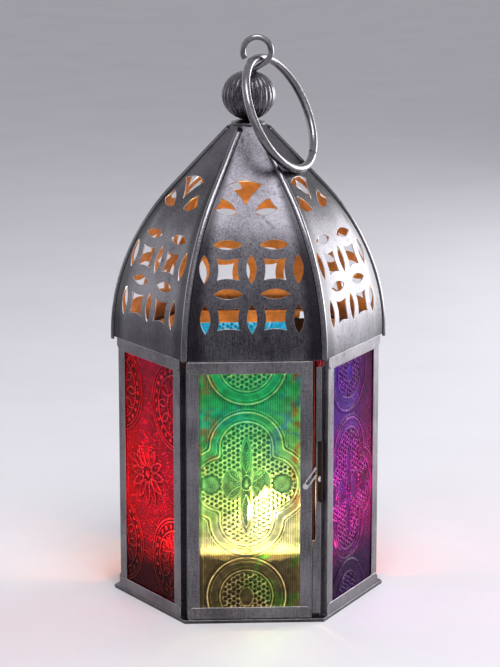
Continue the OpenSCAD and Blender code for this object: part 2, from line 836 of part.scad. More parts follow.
module candle_holder() {
    color(metal_c) translate([0, 0, base_t]) difference() {
        cylinder(r = holder_r + holder_wall, h = holder_h);
        translate([0, 0, -over]) cylinder(r = holder_r, h = holder_h + 2 * over);
    }
}

module tealight_cup() {
    wall_r = cup_r - cup_lip;
    in_r = wall_r - cup_wall;
    lip_z = cup_z1 - cup_lip_t;
    color(foil_c) rotate_extrude() polygon([
        [0, cup_z0], [wall_r, cup_z0], [wall_r, lip_z], [cup_r, lip_z], [cup_r, cup_z1],
        [in_r, cup_z1], [in_r, cup_z0 + cup_wall], [0, cup_z0 + cup_wall]
    ]);
}

module tealight_wax() {
    z0 = cup_z0 + cup_wall;
    wax_r = cup_r - cup_lip - cup_wall - wax_play;
    hole_r = wick_d / 2 + wax_play;
    neck_r = sustainer_neck_d / 2 + wax_play;
    disc_r = sustainer_d / 2 + wax_play;
    disc_z = z0 + sustainer_t + wax_play;
    neck_z = z0 + sustainer_neck_h + wax_play;
    color(wax_c) rotate_extrude() polygon([
        [disc_r, z0], [wax_r, z0], [wax_r, wax_z1], [hole_r, wax_z1],
        [hole_r, neck_z], [neck_r, neck_z], [neck_r, disc_z], [disc_r, disc_z]
    ]);
}

module tealight_wick() {
    z0 = cup_z0 + cup_wall;
    color(wax_c) translate([0, 0, z0]) cylinder(d = wick_d, h = wax_z1 + wick_out - z0);
}

module wick_sustainer() {
    color(foil_c) translate([0, 0, cup_z0 + cup_wall]) difference() {
        union() {
            cylinder(d = sustainer_d, h = sustainer_t);
            cylinder(d = sustainer_neck_d, h = sustainer_neck_h);
        }
        translate([0, 0, -over]) cylinder(d = wick_d + 2 * wax_play, h = sustainer_neck_h + 2 * over);
    }
}

base_plate();
base_rim();
hinge_wire();
post_latch();
color(metal_c) on_corner(1) plain_post();  // post_right
color(metal_c) on_corner(2) plain_post();  // post_back_right
color(metal_c) on_corner(3) plain_post();  // post_back_left
color(metal_c) on_corner(4) plain_post();  // post_left
post_hinge();
fixed_stiles(1);  // stiles_right
fixed_stiles(2);  // stiles_back_right
fixed_stiles(3);  // stiles_back
fixed_stiles(4);  // stiles_back_left
fixed_stiles(5);  // stiles_left
fixed_rails(1);  // rails_right
fixed_rails(2);  // rails_back_right
fixed_rails(3);  // rails_back
fixed_rails(4);  // rails_back_left
fixed_rails(5);  // rails_left
fixed_glass(1, purple_c);  // glass_right
fixed_glass(2, ruby_c);  // glass_back_right
fixed_glass(3, turquoise_c);  // glass_back
fixed_glass(4, amber_c);  // glass_back_left
fixed_glass(5, red_c);  // glass_left
door_stile_hinge();
door_stile_latch();
door_rail_top();
door_rail_bottom();
door_glass();
latch_rivet();
latch_hook();
keeper_plate();
keeper_hook();
eaves_band();
roof_panel(0);  // roof_panel_front
roof_panel(1);  // roof_panel_right
roof_panel(2);  // roof_panel_back_right
roof_panel(3);  // roof_panel_back
roof_panel(4);  // roof_panel_back_left
roof_panel(5);  // roof_panel_left
rib(0, front_foot_h);  // rib_front_right
rib(1, foot_h);  // rib_right
rib(2, foot_h);  // rib_back_right
rib(3, foot_h);  // rib_back_left
rib(4, foot_h);  // rib_left
rib(5, front_foot_h);  // rib_front_left
apex_cap();
finial_ball();
hanging_eye();
stem_washer();
hanging_ring();
candle_holder();
tealight_cup();
tealight_wax();
tealight_wick();
wick_sustainer();
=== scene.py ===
import math

import bpy
import numpy as np
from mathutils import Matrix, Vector


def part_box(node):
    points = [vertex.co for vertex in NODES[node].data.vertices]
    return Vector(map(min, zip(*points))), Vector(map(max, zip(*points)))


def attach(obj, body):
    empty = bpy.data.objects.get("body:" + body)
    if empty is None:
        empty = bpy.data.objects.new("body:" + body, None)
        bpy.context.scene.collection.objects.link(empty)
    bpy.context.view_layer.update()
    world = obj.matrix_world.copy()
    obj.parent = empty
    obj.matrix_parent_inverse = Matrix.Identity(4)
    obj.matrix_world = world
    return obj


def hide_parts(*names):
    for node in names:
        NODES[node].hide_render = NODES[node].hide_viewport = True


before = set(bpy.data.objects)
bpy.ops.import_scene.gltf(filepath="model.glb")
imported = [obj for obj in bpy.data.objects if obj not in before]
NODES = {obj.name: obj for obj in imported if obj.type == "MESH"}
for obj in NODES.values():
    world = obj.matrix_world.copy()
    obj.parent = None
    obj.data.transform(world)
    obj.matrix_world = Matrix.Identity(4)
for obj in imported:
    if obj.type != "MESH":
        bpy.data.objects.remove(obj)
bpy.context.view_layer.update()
MM = 0.001

# The lantern's six sides, and the profile of its roof: each panel rises from ROOF_FLAT, its
# distance from the axis, and bends inwards from ROOF_ARC_Z on, over an arc that ends where the
# sine of its angle is ROOF_ARC_SIN; from there it goes on straight.
SIDE_TURN = math.pi / 3
ROOF_FLAT, ROOF_ARC_Z, ROOF_ARC_R = 0.0429, 0.0966, 0.086
ROOF_ARC_SIN = math.sin(math.radians(39.5))


# ---------------------------------------------------------------- shader helpers

class Shader:
    """A new material or world, and short ways to add and join its nodes."""

    def __init__(self, name, kind="Material"):
        self.block = (bpy.data.worlds if kind == "World" else bpy.data.materials).new(name)
        self.block.use_nodes = True
        self.tree = self.block.node_tree
        self.tree.nodes.clear()
        self.out = self.tree.nodes.new("ShaderNodeOutput" + kind)

    def node(self, kind, props=None, **sockets):
        """A node. A socket goes by its name, with _ for a space, or by i and its number."""
        n = self.tree.nodes.new("ShaderNode" + kind)
        for k, v in (props or {}).items():
            setattr(n, k, v)
        for k, v in sockets.items():
            key = int(k[1:]) if k[0] == "i" and k[1:].isdigit() else k.replace("_", " ")
            self.put(n.inputs[key], v)
        return n

    def put(self, socket, v):
        """Gives a socket what v is: an output or a node to link, a colour or a number to set."""
        if isinstance(v, bpy.types.Node):
            self.tree.links.new(v.outputs[0], socket)
        elif hasattr(v, "is_output"):
            self.tree.links.new(v, socket)
        elif socket.type == "RGBA":
            socket.default_value = (*v, 1.0)
        else:
            socket.default_value = v

    def math(self, op, a, b=0.0):
        return self.node("Math", {"operation": op}, i0=a, i1=b).outputs[0]

    def total(self, *parts):
        """The sum of pairs of a value and its weight."""
        terms = [self.math("MULTIPLY", v, weight) for v, weight in parts]
        out = terms[0]
        for term in terms[1:]:
            out = self.math("ADD", out, term)
        return out

    def ramp(self, v, lo, hi, a=0.0, b=1.0):
        """a up to lo, b from hi on, and a straight slope between them."""
        return self.node("MapRange", {"clamp": True}, i0=v, i1=lo, i2=hi, i3=a, i4=b).outputs[0]

    def mix(self, f, a, b, how="MIX"):
        n = self.node("Mix", {"data_type": "RGBA", "blend_type": how})
        for key, v in ((0, f), (6, a), (7, b)):
            self.put(n.inputs[key], v)
        return n.outputs[2]

    def at(self, scale=(1, 1, 1)):
        """Object coordinates, stretched, so that a grain can follow a direction."""
        co = self.node("TexCoord").outputs["Object"]
        return self.node("Mapping", {"vector_type": "POINT"}, Vector=co, Scale=scale).outputs[0]

    def xyz(self, vector=None):
        """The three parts of a vector, or of the object coordinates."""
        return self.node("SeparateXYZ", Vector=vector or self.at()).outputs

    def noise(self, scale, detail=3.0, rough=0.55, vector=None, distort=0.0):
        return self.node("TexNoise", Vector=vector or self.at(), Scale=scale, Detail=detail,
                         Roughness=rough, Distortion=distort).outputs[0]

    def bump(self, height, strength, distance, normal=None):
        n = self.node("Bump", Strength=strength, Distance=distance, Height=height)
        if normal is not None:
            self.put(n.inputs["Normal"], normal)
        return n.outputs[0]

    def edges(self, radius):
        """1 along sharp edges, 0 elsewhere, and the rounded normal."""
        b = self.node("Bevel", {"samples": 4}, Radius=radius).outputs[0]
        g = self.node("NewGeometry").outputs["Normal"]
        dot = self.node("VectorMath", {"operation": "DOT_PRODUCT"}, i0=b, i1=g).outputs["Value"]
        return self.ramp(dot, 0.985, 0.82), b

    def done(self, surface):
        self.put(self.out.inputs["Surface"], surface)
        return self.block


# ---------------------------------------------------------------- sheet metal

# The inner sides' duller skins, each a ground, lighter patches and specks: the warm one paints the glow of
# the candle, the dark red one paints shade.
CANDLE_GLOW_SKIN = ((0.36, 0.17, 0.048), (0.66, 0.34, 0.12), (0.26, 0.12, 0.035))
# Painted shade, dark red, for the back-right stile's faces seen beside the door.
RED_SHADE_SKIN = ((0.050, 0.006, 0.006), (0.095, 0.012, 0.012), (0.020, 0.004, 0.004))


def tinned(s, dark, light, rough, grain, bright, edge, wear, dirt):
    """Colour, roughness and normal of dark tinned sheet: soft patches, brushing, stains, rubs."""
    cloud, fine = s.noise(48, 5, 0.55), s.noise(1700, 2, 0.6)
    brush = s.noise(1.0, 3, 0.65, vector=s.at(grain))
    tone = s.total((cloud, 0.42), (fine, 0.30), (brush, 0.28))
    col = s.mix(s.ramp(tone, 0.43, 0.58), dark, light)
    stained = s.ramp(s.noise(210, 5, 0.7, distort=0.5), 0.58, 0.72, 0, dirt)
    col = s.mix(stained, col, tuple(0.35 * c for c in dark))
    mask, soft = s.edges(edge)
    rub = s.math("MULTIPLY", mask, s.ramp(s.noise(330, 2), 0.30, 0.60, 0.35, 1.0))
    col = s.mix(s.math("MULTIPLY", rub, wear), col, bright)
    r = s.ramp(s.total((fine, 0.5), (brush, 0.5)), 0.35, 0.65, *rough)
    r = s.math("ADD", r, s.math("MULTIPLY", stained, 0.25))
    h = s.total((brush, 0.25), (s.noise(120, 2), 1.4))
    return col, r, s.bump(h, 0.30, 0.00009, soft)


def painted_skin(s, col, r, inner, skin=CANDLE_GLOW_SKIN):
    """Colour, metallic and roughness with a duller skin where inner is 1; the skin's colours paint light:
    the warm skin the candle's glow, the dark red skin shade.
    """
    dull, light, speck = skin
    tint = s.mix(s.ramp(s.noise(75, 4), 0.38, 0.62), dull, light)
    tint = s.mix(s.ramp(s.noise(500, 3), 0.45, 0.65, 0, 0.5), tint, speck)
    return (s.mix(inner, col, tint), s.ramp(inner, 0.0, 1.0, 1.0, 0.4),
            s.math("MAXIMUM", r, s.math("MULTIPLY", inner, 0.6)))


def side_angles(s, co):
    """The angle round the axis, from the front, and that of the middle of its side."""
    around = s.math("ARCTAN2", co["X"], s.math("MULTIPLY", co["Y"], -1.0))
    nearest = s.math("ROUND", s.math("DIVIDE", around, SIDE_TURN))
    return around, s.math("MULTIPLY", nearest, SIDE_TURN)


def outwards(s, roof=False):
    """1 where a face looks straight out of its side of the lantern, -1 where it looks in."""
    co, no = s.xyz(), s.xyz(s.node("TexCoord").outputs["Normal"])
    face = side_angles(s, co)[1]
    radial = s.math("SUBTRACT", s.math("MULTIPLY", no["X"], s.math("SINE", face)),
                    s.math("MULTIPLY", no["Y"], s.math("COSINE", face)))
    if not roof:
        return radial
    arc_end = ROOF_ARC_Z + ROOF_ARC_R * ROOF_ARC_SIN
    up = s.ramp(co["Z"], ROOF_ARC_Z, arc_end, 0.0, ROOF_ARC_SIN)
    level = s.math("SQRT", s.math("SUBTRACT", 1.0, s.math("MULTIPLY", up, up)))
    return s.math("ADD", s.math("MULTIPLY", radial, level), s.math("MULTIPLY", no["Z"], up))


def from_hip(s):
    """The sine of the angle to the nearer hip: 0 on it, 0.5 on a side's middle line."""
    around, face = side_angles(s, s.xyz())
    aside = s.math("ABSOLUTE", s.math("SUBTRACT", around, face))
    return s.math("SINE", s.math("SUBTRACT", SIDE_TURN / 2, aside))


def metal_surface(s, col, metal, r, n):
    return s.done(s.node("BsdfPrincipled", Base_Color=col, Metallic=metal, Roughness=r, Normal=n))


def worn_metal(name, dark, light, rough=(0.30, 0.44), grain=(2600, 2600, 130),
               bright=(0.46, 0.45, 0.47), edge=0.0003, wear=0.6, dirt=0.6, skin=None,
               skin_at=(-0.4, -0.8)):
    """Tinned sheet or wire, with a skin of painted light over the faces that look inwards: the warm skin
    paints the candle's glow, the dark red skin shade.
    """
    s = Shader(name)
    col, r, n = tinned(s, dark, light, rough, grain, bright, edge, wear, dirt)
    metal = 1.0
    if skin:
        col, metal, r = painted_skin(s, col, r, s.ramp(outwards(s), *skin_at), skin)
    return metal_surface(s, col, metal, r, n)


def roof_metal():
    """The rolled roof panels: painted shade along the hips, bright cut edges, and inside, matt, with the
    candle's glow painted warm.
    """
    s = Shader("roof_sheet")
    out = outwards(s, roof=True)
    col, r, n = tinned(s, dark=(0.034, 0.032, 0.038), light=(0.094, 0.089, 0.102),
                       rough=(0.25, 0.38), grain=(2200, 2200, 150), bright=(0.50, 0.49, 0.52),
                       edge=0.00034, wear=0.8, dirt=0.6)
    # Painted shade: a dark band with a ragged edge along each hip, beside the raised ribs.
    shade_from_hip = s.math("ADD", from_hip(s), s.math("MULTIPLY", s.noise(150, 4, 0.6), 0.06))
    col = s.mix(s.ramp(shade_from_hip, 0.115, 0.185, 0.8, 0), col, (0.010, 0.009, 0.011))
    cut_edge = s.ramp(s.math("ABSOLUTE", out), 0.75, 0.60)
    col = s.mix(cut_edge, col, (0.66, 0.64, 0.66))
    # Painted light: the warm skin on the inner faces stands for the candle's glow.
    col, metal, r = painted_skin(s, col, r, s.ramp(out, -0.4, -0.6))
    return metal_surface(s, col, metal, r, n)


# ---------------------------------------------------------------- pressed pattern
# Grids of heights, 0 to about 1, over u across the pane and v up it. Lengths are in mm.

CELL = 1.75            # pitch of the dimples
BOSS = 3.5             # radius of the round bosses

# Ridges, each with its distance from the middle or the outline, its height and its width.
MEDALLION_RINGS = ((13.9, 1.0, 1.0), (12.7, 0.75, 0.6), (9.4, 0.95, 0.9), (10.5, 0.7, 0.55))
LOBE_LINES = ((0.0, 1.0, 0.95), (1.15, 0.75, 0.6), (3.4, 0.95, 0.9), (4.5, 0.7, 0.55))
DISC_RINGS = ((16.0, 1.0, 1.0), (14.7, 0.75, 0.6), (11.3, 0.85, 0.8), (5.2, 0.8, 0.7))


def ridge(h, d, high, wide):
    """h with a rounded ridge on the line where the distance d is zero."""
    return np.maximum(h, high * np.clip(1 - (2 * d / wide) ** 2, 0, 1) ** 1.5)


def ridges(h, d, rows):
    for at, high, wide in rows:
        h = ridge(h, d - at, high, wide)
    return h


def over(h, mask, top):
    """h with top laid over it where mask is 1."""
    return h * (1 - mask) + mask * top


def inside(d, soft=0.15):
    """1 where the distance d to an outline is negative, softly 0 beyond it."""
    return np.clip(0.5 - d / (2 * soft), 0, 1)


def ellipse(u, v, cu, cv, a, b):
    """About the distance to an ellipse, negative inside."""
    x, y = (u - cu) / a, (v - cv) / b
    f = np.hypot(x, y)
    g = np.hypot(x / a, y / b) / np.maximum(f, 1e-6)
    return (f - 1) / np.maximum(g, 1e-6)


def leaf(u, v, cu, cv, length, width, turn):
    """The distance to a pointed leaf, its tip along turn."""
    c, s = math.cos(turn), math.sin(turn)
    x, y = (u - cu) * c + (v - cv) * s, -(u - cu) * s + (v - cv) * c
    k = (length ** 2 / 4 + width ** 2 / 4) / width
    return np.maximum(np.hypot(x, y - (k - width / 2)), np.hypot(x, y + (k - width / 2))) - k


def stadium(u, v, cu, cv, half, r):
    """The distance to an upright round-ended bar."""
    return np.hypot(u - cu, np.maximum(np.abs(v - cv) - half, 0)) - r


def soft_min(a, b, k):
    """The smaller of two distances, with their crossing rounded by k."""
    t = np.clip(0.5 + 0.5 * (b - a) / k, 0, 1)
    return b * (1 - t) + a * t - k * t * (1 - t)


def sector(turn, count):
    """The angle from the middle of the nearest of count equal sectors."""
    return ((turn / (2 * math.pi / count) + 0.5) % 1 - 0.5) * 2 * math.pi / count


def cells(u, v, pitch):
    """Dimples on a loose triangular grid, with round walls left between them."""
    col = pitch * math.sqrt(3) / 2
    near = np.full(u.shape, 9.0)
    i0 = np.floor(u / col)
    for di in (-1, 0, 1, 2):
        i = i0 + di
        off = (i % 2) * pitch / 2
        for dj in (-0.5, 0.5):
            j = np.round((v - off) / pitch + dj)
            du, dv = np.sin(i * 12.99 + j * 78.23), np.sin(i * 39.35 + j * 11.13)
            size = 1 + 0.10 * np.sin(i * 7.31 + j * 23.17)
            d = np.hypot(u - i * col - 0.08 * pitch * du, v - off - (j + 0.07 * dv) * pitch)
            near = np.minimum(near, d / size)
    return np.clip(near / (0.48 * pitch), 0, 1) ** 2.0


def medallion(u, v, cv):
    """A round medallion: a smooth band between rings, a beaded field, a bead in the middle."""
    r = np.hypot(u, (v - cv) * 0.98)
    h = ridges(0.42 * inside(r - 13.6), r, MEDALLION_RINGS)
    h = over(h, inside(r - 8.7), 0.10 + 0.72 * cells(u, v - cv, CELL))
    bead = ellipse(u, v, 0.0, cv - 0.2, 2.5, 3.4)
    return ridge(over(h, inside(bead), 0.55), bead, 0.95, 0.7), r


def pattern_long(u, v):
    """A four-lobed field of cells with a smooth cross, bosses and a drop, between medallions."""
    cv = 45.6
    lobes = soft_min(stadium(u, v, 0.0, cv, 13.2, 9.3), stadium(v, u, cv, 0.0, 8.2, 9.8), 1.2)
    cross = soft_min(ellipse(u, v, 0.0, cv + 8.5, 2.0, 8.5),
                     ellipse(u, v, 0.0, cv - 9.0, 2.2, 9.5), 1.5)
    cross = soft_min(cross, ellipse(np.abs(u), v, 5.4, cv, 3.2, 5.2), 2.0)
    boss = np.minimum(np.hypot(u - 12.5, v - cv), np.hypot(u + 12.5, v - cv))
    drop = np.where(v > cv, leaf(u, v, 0.0, cv, 6.6, 3.8, math.pi / 2),
                    ellipse(u, v, 0.0, cv, 1.9, 2.3))
    reeds = 0.5 + 0.5 * np.cos(u * 2 * math.pi / 0.8)
    h = over(0.16 + 0.20 * reeds, inside(lobes - 3.3), 0.45)
    h = over(h, inside(lobes + 0.7), 0.08 + 0.80 * cells(u, v - cv, CELL))
    plain = inside(cross)
    h = over(h, plain, 0.40 + 0.12 * np.cos(np.clip(cross, -3, 0) * 1.2))
    h = ridge(ridges(h, lobes, LOBE_LINES), cross, 0.8, 0.6)
    for side in (-1, 1):
        for up in (-1, 1):
            slant = math.pi / 2 - side * up * 0.85
            h = ridge(h, leaf(u, v, side * 3.6, cv + up * 3.4, 8.0, 3.2, slant), 0.72, 0.55)
        h = ridge(h, leaf(u, v, 0.0, cv + side * 10.0, 12.0, 3.2, math.pi / 2), 0.72, 0.6)
    dome = inside(boss - BOSS)
    h = over(h, dome, 0.25 + 0.75 * np.sqrt(np.clip(1 - (boss / BOSS) ** 2, 0, 1)))
    h = ridge(h, boss - 4.1, 0.75, 0.7)
    bead = inside(drop)
    h = over(h, bead, 0.35 + 0.6 * np.clip(-drop / 1.6, 0, 1))
    h = ridge(h, drop, 0.95, 0.65)
    for c in (88.6, 4.4):
        m, r = medallion(u, v, c)
        h = over(h, inside(r - 14.4), m)
    # The second value lowers the relief value on the domes, the cross and the drop, which makes them
    # clearer and paints more shade on them.
    return h, 0.13 * dome + 0.07 * plain + 0.10 * bead


def pattern_flower(u, v):
    """A flower of narrow petals between four large ringed discs."""
    cv = 43.5
    wave = 0.5 + 0.5 * np.cos((v - cv) * 2 * math.pi / 1.3 + 1.5 * np.sin(u * 0.5))
    r, fold = np.hypot(u, v - cv), sector(np.arctan2(v - cv, u), 12)
    petal = leaf(r * np.cos(fold), r * np.sin(fold), 6.9, 0.0, 8.2, 2.9, 0.0)
    h = ridge(over(0.16 + 0.07 * wave, inside(petal), 0.42), petal, 0.95, 0.65)
    h = np.maximum(h, 0.9 * np.clip(1 - (r / 2.0) ** 2, 0, 1))
    for side in (-1, 1):
        for up in (-1, 1):
            cu, cw = side * 19.4, cv + up * 28.5
            d, turn = np.hypot(u - cu, v - cw), np.arctan2(v - cw, u - cu)
            disc = ridges(0.10 + 0.10 * wave, d, DISC_RINGS)
            bead = np.hypot(sector(turn, 24) * d, (d - 13.0) * 0.9)
            disc = np.maximum(disc, 0.8 * np.clip(1 - (bead / 1.1) ** 2, 0, 1))
            fold = sector(turn, 10)
            blade = leaf(d * np.cos(fold), d * np.sin(fold), 8.3, 0.0, 5.2, 2.6, 0.0)
            h = over(h, inside(d - 16.0), ridge(disc, blade, 0.85, 0.6))
    return h, 0.0


# ---------------------------------------------------------------- meshes

def new_object(name, verts, faces, mats, smooth=True):
    """A mesh object in the scene, with smooth said for all its faces or for each of them."""
    me = bpy.data.meshes.new(name)
    me.from_pydata([tuple(v) for v in verts], [], faces)
    for m in mats:
        me.materials.append(m)
    me.polygons.foreach_set("use_smooth", np.full(len(faces), smooth, bool))
    me.update()
    ob = bpy.data.objects.new(name, me)
    bpy.context.collection.objects.link(ob)
    return ob


RELIEF = 0.62                    # mm of height that the pattern's 1 stands for
SUNK = 0.35                      # mm from the pane's face down to the pattern's 0
COVERED, RUN_IN = 3.2, 0.8       # mm under the frame that stay flat, and over which relief starts
BLUR = 1.2                       # mm, the reach of what a point's height is compared with


def blurred(a, r):
    """The mean of a grid over squares of 2 r + 1 points."""
    for axis in (0, 1):
        wide = np.pad(a, [(r + 1, r) if k == axis else (0, 0) for k in (0, 1)], mode="edge")
        wide = np.cumsum(wide, axis)
        n, w = a.shape[axis], 2 * r + 1
        a = (np.take(wide, range(w, w + n), axis) - np.take(wide, range(n), axis)) / w
    return a


def pane_mesh(name, node, face, pattern, shift, pitch, crisp, mats):
    """A pane with a pressed outer face, in the place of its node."""
    a = math.radians(60 * face)
    out = np.array([math.sin(a), -math.cos(a), 0.0])
    along = np.array([math.cos(a), math.sin(a), 0.0])
    co = np.array([v.co for v in NODES[node].data.vertices], float)
    across, depth = co @ along, co @ out
    u0, u1, z0, z1 = across.min(), across.max(), co[:, 2].min(), co[:, 2].max()
    nu, nz = round((u1 - u0) / (pitch * MM)), round((z1 - z0) / (pitch * MM))
    U, Z = np.meshgrid(np.linspace(u0, u1, nu + 1), np.linspace(z0, z1, nz + 1))
    h, smooth = pattern(U / MM - shift[0], Z / MM - shift[1])
    h = h + 0.05 * np.sin(U / MM * 1.3 + 2.0) * np.sin(Z / MM * 1.1)
    margin = np.minimum.reduce([U - u0, u1 - U, Z - z0, z1 - Z]) / MM
    h = h * np.clip((margin - COVERED) / RUN_IN, 0, 1)
    top = depth.max() - SUNK * MM + h * RELIEF * MM
    plan = along * U[..., None] + np.array([0, 0, 1.0]) * Z[..., None]
    front = (plan + out * top[..., None]).reshape(-1, 3)
    back = (plan + out * depth.min()).reshape(-1, 3)
    grid = np.arange(len(front)).reshape(U.shape)
    pressed = np.stack([grid[:-1, :-1], grid[:-1, 1:], grid[1:, 1:], grid[1:, :-1]], -1)
    pressed = pressed.reshape(-1, 4).tolist()
    rim = np.concatenate([grid[0, :-1], grid[:-1, -1], grid[-1, :0:-1], grid[:0:-1, 0]])
    under = len(front) + np.arange(len(rim))
    walls = np.stack([np.roll(rim, -1), rim, under, np.roll(under, -1)], -1).tolist()
    verts = np.concatenate([front, back[rim]])
    faces = pressed + walls + [under[::-1].tolist()]
    plain = np.arange(len(faces)) >= len(pressed)
    ob = new_object(name, verts, faces, mats, smooth=~plain)
    ob.data.polygons.foreach_set("material_index", plain.astype(np.int32))
    # The relief value: how far a point stands above its surroundings, less on smooth domes and bars. The
    # glass makes it milky where it is high and paints a highlight there, and paints shade where it is low.
    tint = np.zeros(len(verts), np.float32)
    raised = crisp * (h - blurred(h, round(BLUR / pitch)))
    tint[:len(front)] = np.clip(0.45 - smooth + raised, 0, 1).reshape(-1)
    ob.data.attributes.new("relief", "FLOAT", "POINT").data.foreach_set("value", tint)
    ob.data.update()
    return ob


def lathe(name, rows, sides, radius_at, mat):
    """A closed turned form from rows of a radius and a height, the first and last on the axis.
    radius_at gives the radius round a row."""
    t = np.arange(sides) * 2 * math.pi / sides
    verts, faces = [], []
    for r, z in rows[1:-1]:
        rr = radius_at(r, t)
        verts += [(rr[k] * math.cos(t[k]), rr[k] * math.sin(t[k]), z) for k in range(sides)]
    last = (len(rows) - 3) * sides
    for j in range(0, last, sides):
        for k in range(sides):
            a, b = j + k, j + (k + 1) % sides
            faces.append((a, b, b + sides, a + sides))
    lo, hi = len(verts), len(verts) + 1
    verts += [(0, 0, rows[0][1]), (0, 0, rows[-1][1])]
    faces += [((k + 1) % sides, k, lo) for k in range(sides)]
    faces += [(last + k, last + (k + 1) % sides, hi) for k in range(sides)]
    return new_object(name, verts, faces, [mat])


# ---------------------------------------------------------------- materials

def coloured_glass(name, stops, lean=0.0, milk=(0.04, 0.6), frost=0.3, pale=(0.95, 0.95, 0.80),
                   gloss=0.35, patches=()):
    """The pressed face: clear in the hollows and milky on the ridges, with painted shade in the hollows
    and a painted highlight on the ridges.

    stops: its colours by height, each with the height it starts at and the width of the border;
    lean: how much the borders rise to the left; patches: colour, scale, the x and the z that
    they fade in over, and their strength. The colours by height paint the candle's glow and the
    shade under the cup's rim; the patches paint in colours seen through the pane, and shade.
    they fade in over, and their strength.
    """
    s = Shader(name)
    sep = s.xyz()
    drift = s.math("MULTIPLY", s.math("SUBTRACT", s.noise(60, 3), 0.5), 0.014)
    slid = s.math("ADD", s.math("ADD", sep["Z"], drift), s.math("MULTIPLY", sep["X"], lean))
    col = stops[0][1]
    for k, (at, colour, width) in enumerate(stops[1:]):
        height = slid if k else sep["Z"]
        col = s.mix(s.ramp(height, at - width / 2, at + width / 2), col, colour)
    for colour, scale, x0, x1, z0, z1, much in patches:
        zone = s.math("MULTIPLY", s.ramp(sep["X"], x0, x1), s.ramp(sep["Z"], z0, z1))
        spot = s.ramp(s.noise(scale, 3, 0.6, distort=1.2), 0.50, 0.58, 0, much)
        col = s.mix(s.math("MULTIPLY", zone, spot), col, colour)
    relief = s.node("Attribute", {"attribute_name": "relief"}).outputs["Fac"]
    # Painted shade and highlight: the colour is darkened where the relief value is low, in the hollows,
    # and paled where it is high, on the ridges.
    darkened = s.mix(1.0, col, (0.30, 0.33, 0.30), "MULTIPLY")
    col = s.mix(s.ramp(relief, 0.22, 0.44), s.mix(0.92, col, darkened), col)
    col = s.mix(s.ramp(relief, 0.52, 0.85, 0, frost), col, pale)
    streak = s.noise(1.0, 3, 0.6, vector=s.at((150, 150, 300)))
    col = s.mix(s.ramp(streak, 0.42, 0.68, 0, 0.6), col, darkened)
    col = s.mix(s.ramp(s.noise(260, 4, 0.6, distort=0.8), 0.50, 0.66, 0, 0.55), col, darkened)
    n = s.bump(s.total((s.noise(900, 2), 1.0), (s.noise(210, 2), 0.9)), 0.28, 0.00014)
    bend = s.node("BsdfRefraction", Color=col, Roughness=0.03, IOR=1.42, Normal=n)
    haze = s.node("BsdfTranslucent", Color=col, Normal=n)
    body = s.node("MixShader", i0=s.ramp(relief, 0.25, 0.85, *milk), i1=bend, i2=haze)
    shine = s.node("BsdfGlossy", Color=(1, 1, 1), Roughness=0.07, Normal=n)
    fres = s.math("MULTIPLY", s.node("Fresnel", IOR=1.42, Normal=n).outputs[0], gloss)
    face = s.node("MixShader", i0=fres, i1=body, i2=shine)
    shade = s.node("BsdfTransparent", Color=col)
    in_shadow = s.node("LightPath").outputs["Is Shadow Ray"]
    return s.done(s.node("MixShader", i0=in_shadow, i1=face, i2=shade))


def clear_glass(name):
    """A pane's plain back and edges, which leave the colour to its face."""
    s = Shader(name)
    shine = s.node("BsdfGlossy", Color=(1, 1, 1), Roughness=0.05,
                   Normal=s.bump(s.noise(260, 2), 0.2, 0.0001))
    see = s.node("BsdfTransparent", Color=(0.97, 0.97, 0.97))
    fres = s.math("MULTIPLY", s.node("Fresnel", IOR=1.45).outputs[0], 0.35)
    body = s.node("MixShader", i0=fres, i1=see, i2=shine)
    in_shadow = s.node("LightPath").outputs["Is Shadow Ray"]
    return s.done(s.node("MixShader", i0=in_shadow, i1=body, i2=see))


def glass_pair(name, stops, **kw):
    return coloured_glass(name, stops, **kw), clear_glass(name + "_back")


